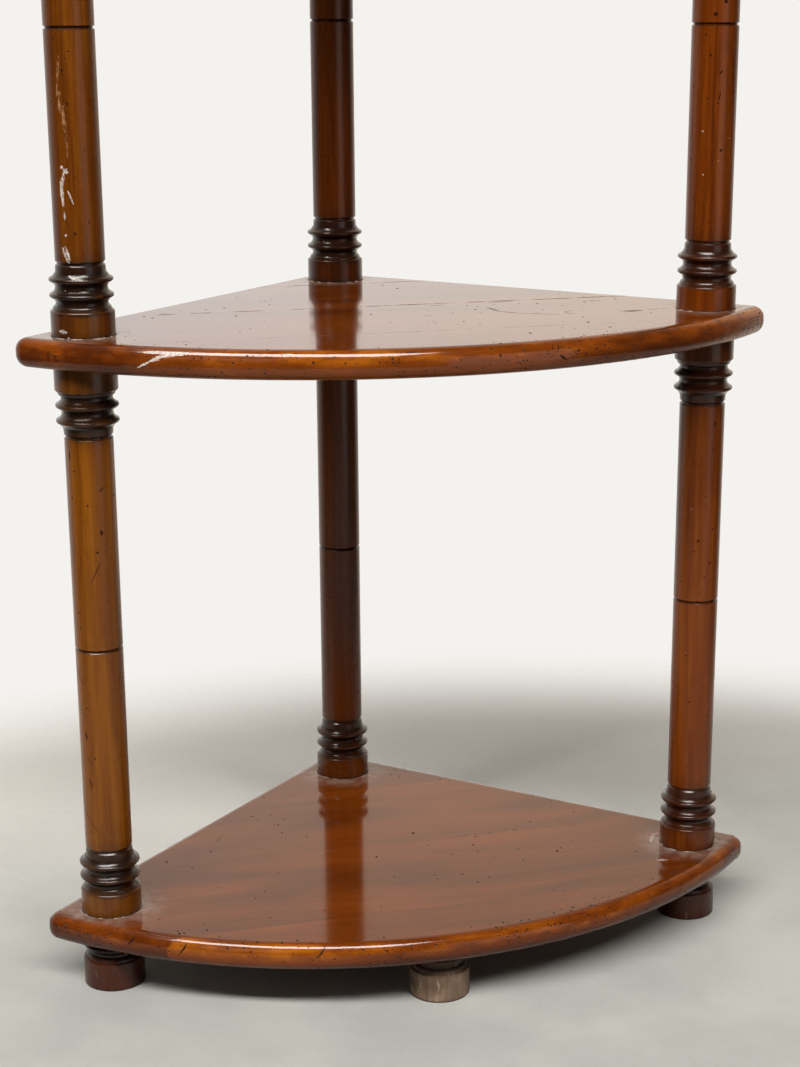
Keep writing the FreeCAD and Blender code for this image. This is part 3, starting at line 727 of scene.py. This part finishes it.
# Knocks and scratches on the posts. A row holds the way round from the front and Z.
post_cuts = {
    ("left", 1): (
        (-18.9, 425.3, -19.0, 419.4, 0.78), (-15.2, 411.8, -15.2, 411.0, 1.32),
        (4.2, 396.6, 7.2, 399.5, 0.7), (-18.5, 392.0, -18.4, 390.8, 1.04),
        (18.0, 392.3, 17.9, 391.2, 1.34), (-5.2, 386.8, -5.3, 386.2, 1.32),
        (3.6, 367.2, 4.4, 364.0, 1.4), (0.4, 351.3, 0.4, 350.6, 1.49),
        (5.7, 351.4, 5.7, 350.9, 0.76), (2.3, 343.8, -5.7, 327.8, 0.4),
        (-16.7, 304.6, -16.4, 303.9, 1.37), (-16.4, 292.3, -16.4, 291.7, 1.06),
        (15.2, 374.9, 15.1, 374.2, 1.04), (-22.2, 260.1, -19.9, 252.1, 0.36),
        (-19.9, 252.1, -14.8, 247.6, 0.36), (-16.7, 210.0, -15.9, 204.6, 1.18),
        (-18.3, 194.4, -12.2, 184.4, 0.31), (-15.5, 173.3, -13.1, 166.9, 0.73),
        (-22.5, 146.1, -16.2, 138.1, 0.37), (-16.2, 138.1, -9.8, 130.5, 0.41),
    ),
    ("left", 2): (
        (-2.8, 705.8, -2.8, 705.4, 1.25), (-5.7, 701.2, -5.8, 700.8, 0.84),
        (-8.4, 693.3, -8.3, 692.7, 1.39), (-5.5, 671.1, -5.5, 670.7, 1.55),
        (-20.7, 713.4, -20.8, 713.0, 0.84), (-18.6, 672.4, -18.6, 672.0, 0.84),
        (-13.2, 598.5, -8.5, 584.9, 0.29), (-4.6, 582.5, -4.6, 581.7, 1.72),
        (6.2, 590.1, 6.1, 589.4, 0.85), (5.4, 639.5, 5.4, 638.8, 0.71),
    ),
    ("right", 1): (
        (4.2, 420.7, 4.5, 419.6, 1.92), (2.9, 400.1, 2.9, 399.6, 1.13),
        (-1.6, 362.5, -1.6, 362.0, 1.13), (11.1, 344.4, 11.2, 343.7, 1.31),
        (5.3, 334.8, 5.8, 335.4, 1.45), (-6.7, 326.1, -6.7, 325.5, 1.93),
        (4.2, 307.4, 4.2, 306.8, 1.96), (-0.6, 296.6, -0.5, 296.1, 1.14),
        (-6.0, 275.4, -5.9, 274.6, 1.31), (-20.3, 291.2, -20.3, 290.6, 1.14),
        (-9.6, 317.4, -9.6, 316.9, 0.98),
    ),
    ("right", 2): (
        (-0.8, 737.7, 1.7, 737.0, 1.42), (-7.9, 728.9, -6.6, 728.1, 2.41),
        (-10.3, 699.2, -9.7, 698.7, 1.51), (-3.0, 684.9, -0.4, 688.5, 0.72),
        (-2.9, 665.9, -1.4, 672.1, 0.62), (0.3, 630.0, 0.5, 629.4, 1.52),
        (-25.3, 622.6, -25.3, 622.1, 1.25), (-25.3, 676.6, -25.3, 676.1, 1.08),
        (-11.8, 668.0, -11.0, 667.3, 0.76), (-3.3, 664.5, -2.5, 664.0, 0.76),
    ),
}
post_chips = {
    ("left", 2): (
        (-12.4, 628.3, -11.5, 627.4, 1.52), (-10.0, 626.0, -8.3, 624.4, 2.02),
        (-11.0, 623.3, -12.6, 615.0, 1.3), (-13.5, 617.9, -12.4, 601.3, 1.45),
        (-8.1, 611.7, -4.6, 602.8, 0.61), (-11.9, 597.2, -11.6, 591.7, 0.71),
        (-11.5, 581.3, -11.5, 580.5, 1.38), (-14.7, 572.1, -12.0, 564.6, 1.05),
        (-12.3, 572.9, -9.3, 564.0, 0.95), (-13.0, 568.0, -10.0, 561.5, 1.0),
        (-9.8, 552.6, -1.6, 550.5, 1.15), (-16.4, 513.9, -12.0, 513.4, 1.45),
        (-10.5, 509.7, -10.5, 508.9, 0.9),
    ),
    ("right", 1): (
        (-13.1, 351.5, -12.8, 351.1, 0.59), (-19.6, 347.6, -19.2, 347.5, 0.33),
    ),
    ("right", 2): (
        (9.4, 705.5, 10.0, 705.0, 0.43), (-15.0, 644.1, -14.2, 643.4, 0.56),
        (8.0, 637.8, 8.5, 638.7, 0.43), (-1.9, 622.3, -1.4, 621.9, 0.38),
        (-12.9, 611.9, -12.3, 611.5, 0.5),
    ),
}

# Faint pale tracks where something has rubbed along a post.
post_rubs = {
    ("left", 2): (
        (-10.2, 702.3, -12.6, 681.8, 1.0), (-12.6, 681.8, -11.5, 673.3, 1.5),
        (-11.5, 673.3, -8.8, 662.9, 2.2), (-8.8, 662.9, -7.9, 651.8, 1.5),
        (-7.7, 651.9, -7.4, 632.9, 0.9),
    ),
}


def upright_wood(tree, centred, offset, heart, ring_spacing=0.006):
    """Grain that runs up a piece turned about the Z axis. offset picks a part of the pattern."""
    upright = placed(tree, centred, location=offset, turn=(0, math.radians(90), 0))
    return use_group(tree, grain, Vector=upright, Heart=heart, Ring_Spacing=ring_spacing,
                     Wander=0.004)


for name, (x, y) in post_places.items():
    deep, middle, light, black = post_colours[name]
    for section in (1, 2, 3):
        key = (name, section)
        chance = random.Random(f"{name}{section}")
        finish, tree, output, place = new_material(f"post_{name}_{section}_turned_cherry")
        centred = placed(tree, place, location=(-x, -y, 0))
        spot = split(tree, centred)
        angle = number(tree, "ARCTAN2", spot["X"], times(tree, spot["Y"], -1.0))
        flat = joined(tree, times(tree, angle, flat_radius), spot["Z"])
        offset = (chance.uniform(-4, 4), chance.uniform(-0.02, 0.02), chance.uniform(-0.02, 0.02))
        heart = (0.0, offset[1] + 0.055, offset[2] + 0.01)
        wood = upright_wood(tree, centred, offset, heart, chance.uniform(0.005, 0.008))
        brightness = post_brightness.get(key, 0.0)
        shade = times_plus(tree, wood["Cloud"], 0.6, 0.20 + brightness)
        shade = times_plus(tree, wood["Ring"], -0.18, shade)
        shade = vary(tree, shade, wood["Streak"], 0.8)
        shade = vary(tree, shade, wood["Fibre"], 0.5)
        if name == "back":
            # Painted light: the upper part of the back post is coloured lighter, to offset the
            # shadow of the shelf above.
            shade = number(tree, "ADD", shade, fade(tree, spot["Z"], 0.58, 0.76, 0.0, 0.34))
        colour = wood_colour(tree, shade, deep, middle, light)
        colour = lay(tree, colour, wood["Pore"], 0.4, deep)
        fleck = noise(tree, place, 1000.0, detail=2.0, stretch=(1, 1, 0.35))
        fleck = fade(tree, fleck, 0.58, 0.74, 0.0, 0.5)
        fleck = times(tree, fleck, fade(tree, wood["Cloud"], 0.35, 0.65, 0.2, 1.0))
        colour = blend_colour(tree, fleck, colour, light)
        # The dark stain with the painted shade under each shelf, rubbed off in patches on the
        # crests of the rings.
        marks = use_group(tree, stain_and_shade_tree, Vector=place, Ragged=0.5)
        on_collar = times_plus(tree, marks["Collar"], collar_stain.get(key, 1.0) - 1.0, 1.0)
        stain_and_shade = times(tree, marks["Stain_and_shade"], on_collar)
        crest = fade(tree, from_upright(tree, centred, 0, 0), 0.0205, 0.0232)
        crest = times(tree, crest, number(tree, "SUBTRACT", 1.0, marks["Collar"]))
        patch = fade(tree, noise(tree, place, 90.0, detail=4.0), 0.4, 0.7, 0.02, 0.24)
        stain_and_shade = times_plus(tree, times(tree, crest, patch), -1.0, stain_and_shade, clamp=True)
        colour = lay(tree, colour, stain_and_shade, 0.93, black)
        # Specks and knocks, then the rubbed tracks, and white chips over both.
        small = scatter(tree, flat, spacing=0.007, size=0.0006, share=0.045, crowding=16.0)
        large = scatter(tree, flat, spacing=0.03, size=0.0010, share=0.09, crowding=9.0,
                        move=(0.7, 0.1, 0.4))
        dark_spots = strongest(tree, small, large, strokes(tree, flat, post_cuts.get(key, ())))
        colour = lay(tree, colour, dark_spots, ink_cover, ink_and_shade)
        pale = scatter(tree, flat, spacing=0.034, size=0.0006, share=0.10, crowding=7.0,
                       move=(2.7, 1.1, 0))
        chips = strongest(tree, strokes(tree, flat, post_chips.get(key, ()), ragged=1.0),
                          times(tree, pale, 0.7))
        rubs = strokes(tree, flat, post_rubs.get(key, ()), ragged=1.0)
        rub_grit = noise(tree, place, 900.0, stretch=(1, 1, 0.25))
        colour = lay(tree, colour, rubs, fade(tree, rub_grit, 0.42, 0.66, 0.05, 0.75), rub_tone)
        flaked = noise(tree, place, 1400.0, stretch=(1, 1, 0.3))
        colour = lay(tree, colour, chips, fade(tree, flaked, 0.36, 0.60, 0.12, 0.95), chip_and_glint_white)
        # Marks are dull, and the dark stain and the painted shade under each shelf shine most.
        dull = strongest(tree, dark_spots, chips)
        rough = times_plus(tree, noise(tree, place, 60.0, detail=4.0), 0.16, 0.21)
        rough = times_plus(tree, stain_and_shade, -0.07, rough)
        rough = times_plus(tree, dull, 0.75, rough, clamp=True)
        cover = times_plus(tree, stain_and_shade, 0.22, post_gloss)
        cover = times(tree, cover, times_plus(tree, dull, -1.0, 1.0))
        height = grain_height(tree, wood, pores=0.3, fibres=0.4)
        height = times_plus(tree, dark_spots, -knock_depth, height)
        principled(tree, output, Base_Color=colour, Roughness=rough, IOR=post_lacquer_index,
                   Specular_IOR_Level=0.15, Coat_Weight=cover, Coat_Roughness=0.24,
                   Coat_IOR=post_lacquer_index, Normal=bumped(tree, height, 0.25, 0.0004))
        dress(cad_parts[f"post_{name}_section_{section}"], finish)


# ---- Wax lines -------------------------------------------------------------------------
# Polishing wax and dust that has set in the corner where each post stands on a shelf, an
# even bead less than a millimetre high that follows the collar, in uneven tones.

collar_radius = 0.023
collar_gap = 0.0001
bead_radius = 0.0004
finish, tree, output, place = new_material("old_polishing_wax")
clumps = noise(tree, place, 150.0)
dust = noise(tree, place, 900.0)
tone = ramp(tree, dust, (0.3, screen(120, 102, 88)), (0.7, screen(176, 164, 152)))
tone = blend_colour(tree, fade(tree, clumps, 0.62, 0.48), tone, screen(52, 28, 17))
principled(tree, output, Base_Color=tone, Roughness=0.65, Normal=bumped(tree, clumps, 0.4, 0.0002))
for shelf, top in shelf_tops.items():
    for name, (x, y) in post_places.items():
        bpy.ops.mesh.primitive_torus_add(major_segments=120, minor_segments=12,
                                         major_radius=collar_radius + collar_gap,
                                         minor_radius=bead_radius, location=(x, y, top))
        bead = bpy.context.object
        bead.name = f"wax_line_{name}_shelf_{shelf}"
        bpy.ops.object.transform_apply(location=True, rotation=True, scale=True)
        bpy.ops.object.shade_smooth()
        bead.data.materials.append(finish)
        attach(bead, "root")


# ---- Feet ------------------------------------------------------------------------------
# A low turned foot under each post, stained dark red-brown and lacquered, and a fourth
# one under the middle of the front, whose finish has worn off nearly to bare wood.

foot_places = {f"foot_{name}": post_place for name, post_place in post_places.items()}
low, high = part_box("foot_centre_front")
foot_places["foot_centre_front"] = ((low.x + high.x) / 2, (low.y + high.y) / 2)
# The three tones of the wood and the darker tone at the top, from the hollow up.
foot_colours = {
    "dark_stained": (screen(42, 17, 8), screen(65, 30, 16), screen(82, 41, 22), screen(20, 12, 9)),
    "worn": (screen(84, 62, 48), screen(116, 94, 77), screen(146, 124, 104), screen(52, 32, 22)),
}
# How strong the blotches, fibres, darkening of the top, scuffs and relief are.
foot_strengths = {"dark_stained": (0.4, 0.5, 0.75, 0.12, 0.3), "worn": (1.2, 0.6, 0.85, 0.5, 0.6)}
foot_shades = {"dark_stained": 0.10, "worn": -0.30}
foot_roughness = {"dark_stained": 0.18, "worn": 0.55}
hollow_starts = {"dark_stained": 0.0215, "worn": 0.019}
hollow_full = 0.027

for name, (x, y) in foot_places.items():
    state = "worn" if name == "foot_centre_front" else "dark_stained"
    dark, middle, light, hollow_dark = foot_colours[state]
    blotches, fibres, top_darkening, scuffs, relief = foot_strengths[state]
    finish, tree, output, place = new_material(f"{name}_{state}_wood")
    centred = placed(tree, place, location=(-x, -y, 0))
    wood = upright_wood(tree, centred, (x * 7 + 1, 0.02, 0.01), (0.0, 0.06, 0.02))
    shade = noise(tree, place, 60.0, detail=5.0)
    shade = times_plus(tree, shade, blotches, foot_shades[state])
    shade = times_plus(tree, wood["Cloud"], 0.4, shade)
    shade = vary(tree, shade, wood["Fibre"], fibres)
    shade = times_plus(tree, wood["Ring"], -0.15, shade)
    colour = ramp(tree, shade, (0.1, dark), (0.5, middle), (0.9, light))
    rise = split(tree, place)["Z"]
    # The foot is darker from the hollow near its top up to the shelf.
    hollow = fade(tree, rise, hollow_starts[state], hollow_full)
    colour = lay(tree, colour, hollow, top_darkening, hollow_dark)
    # Painted shade along the very bottom, where the foot meets the floor, and scuffs that run up
    # and down.
    colour = lay(tree, colour, fade(tree, rise, 0.0022, 0.0004), 0.8, ink_and_shade)
    scuff = noise(tree, place, 240.0, detail=4.0, stretch=(1, 1, 0.35))
    scuff = fade(tree, scuff, 0.60, 0.72, 0.0, scuffs)
    colour = blend_colour(tree, scuff, colour, screen(178, 160, 140))
    rough = noise(tree, place, 70.0, detail=4.0)
    rough = times_plus(tree, rough, 0.2, foot_roughness[state])
    height = grain_height(tree, wood, pores=0.4, fibres=0.8)
    principled(tree, output, Base_Color=colour, Roughness=rough, IOR=1.46,
               Specular_IOR_Level=0.38, Normal=bumped(tree, height, relief, 0.0005))
    dress(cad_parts[name], finish)


# ---- Finials ---------------------------------------------------------------------------
# A turned ball on a collar and neck ends each post, with the same wood, stain and lacquer.

finial_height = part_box("finial_left")[1].z - shelf_tops[4]
# How dark the stain is by share of the finial's height: strongest on the neck.
finial_stops = ((0.0, 0.7), (0.03, 0.3), (0.16, 0.3), (0.20, 0.85), (0.25, 1.0), (0.55, 1.0),
                (0.63, 0.5), (0.72, 0.05), (1.0, 0.15))
for name, (x, y) in post_places.items():
    deep, middle, light, black = post_colours[name]
    finish, tree, output, place = new_material(f"finial_{name}_turned_cherry")
    centred = placed(tree, place, location=(-x, -y, 0))
    wood = upright_wood(tree, centred, (x * 5 + 2, 0.01, 0.02), (0.0, 0.05, 0.02))
    shade = times_plus(tree, wood["Cloud"], 0.8, 0.10)
    shade = times_plus(tree, wood["Ring"], -0.20, shade)
    shade = vary(tree, shade, wood["Fibre"], 0.6)
    colour = wood_colour(tree, shade, deep, middle, light)
    height_share = number(tree, "SUBTRACT", split(tree, place)["Z"], shelf_tops[4])
    height_share = number(tree, "DIVIDE", height_share, finial_height)
    colour = lay(tree, colour, ramp(tree, height_share, *finial_stops), 0.92, black)
    dark_spots = scatter(tree, place, spacing=0.006, size=0.0006, share=0.07, crowding=16.0)
    colour = lay(tree, colour, dark_spots, ink_cover, ink_and_shade)
    rough = times_plus(tree, noise(tree, place, 60.0, detail=4.0), 0.18, 0.18)
    height = grain_height(tree, wood, pores=0.3, fibres=0.4)
    principled(tree, output, Base_Color=colour, Roughness=rough, IOR=1.46,
               Normal=bumped(tree, height, 0.35, 0.0004))
    dress(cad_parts[f"finial_{name}"], finish)


# ---- Studs -----------------------------------------------------------------------------
# Zinc-plated steel studs through the shelves, which the assembled piece hides.

finish, tree, output, place = new_material("zinc_plated_steel")
lines = noise(tree, place, 1.0, stretch=(40, 40, 900))
colour = ramp(tree, lines, (0.3, screen(150, 152, 156)), (0.7, screen(196, 198, 202)))
rough = times_plus(tree, lines, 0.25, 0.2)
principled(tree, output, Base_Color=colour, Metallic=1.0, Roughness=rough,
           Normal=bumped(tree, lines, 0.3, 0.0003))
for name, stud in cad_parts.items():
    if name.startswith("stud_"):
        dress(stud, finish)
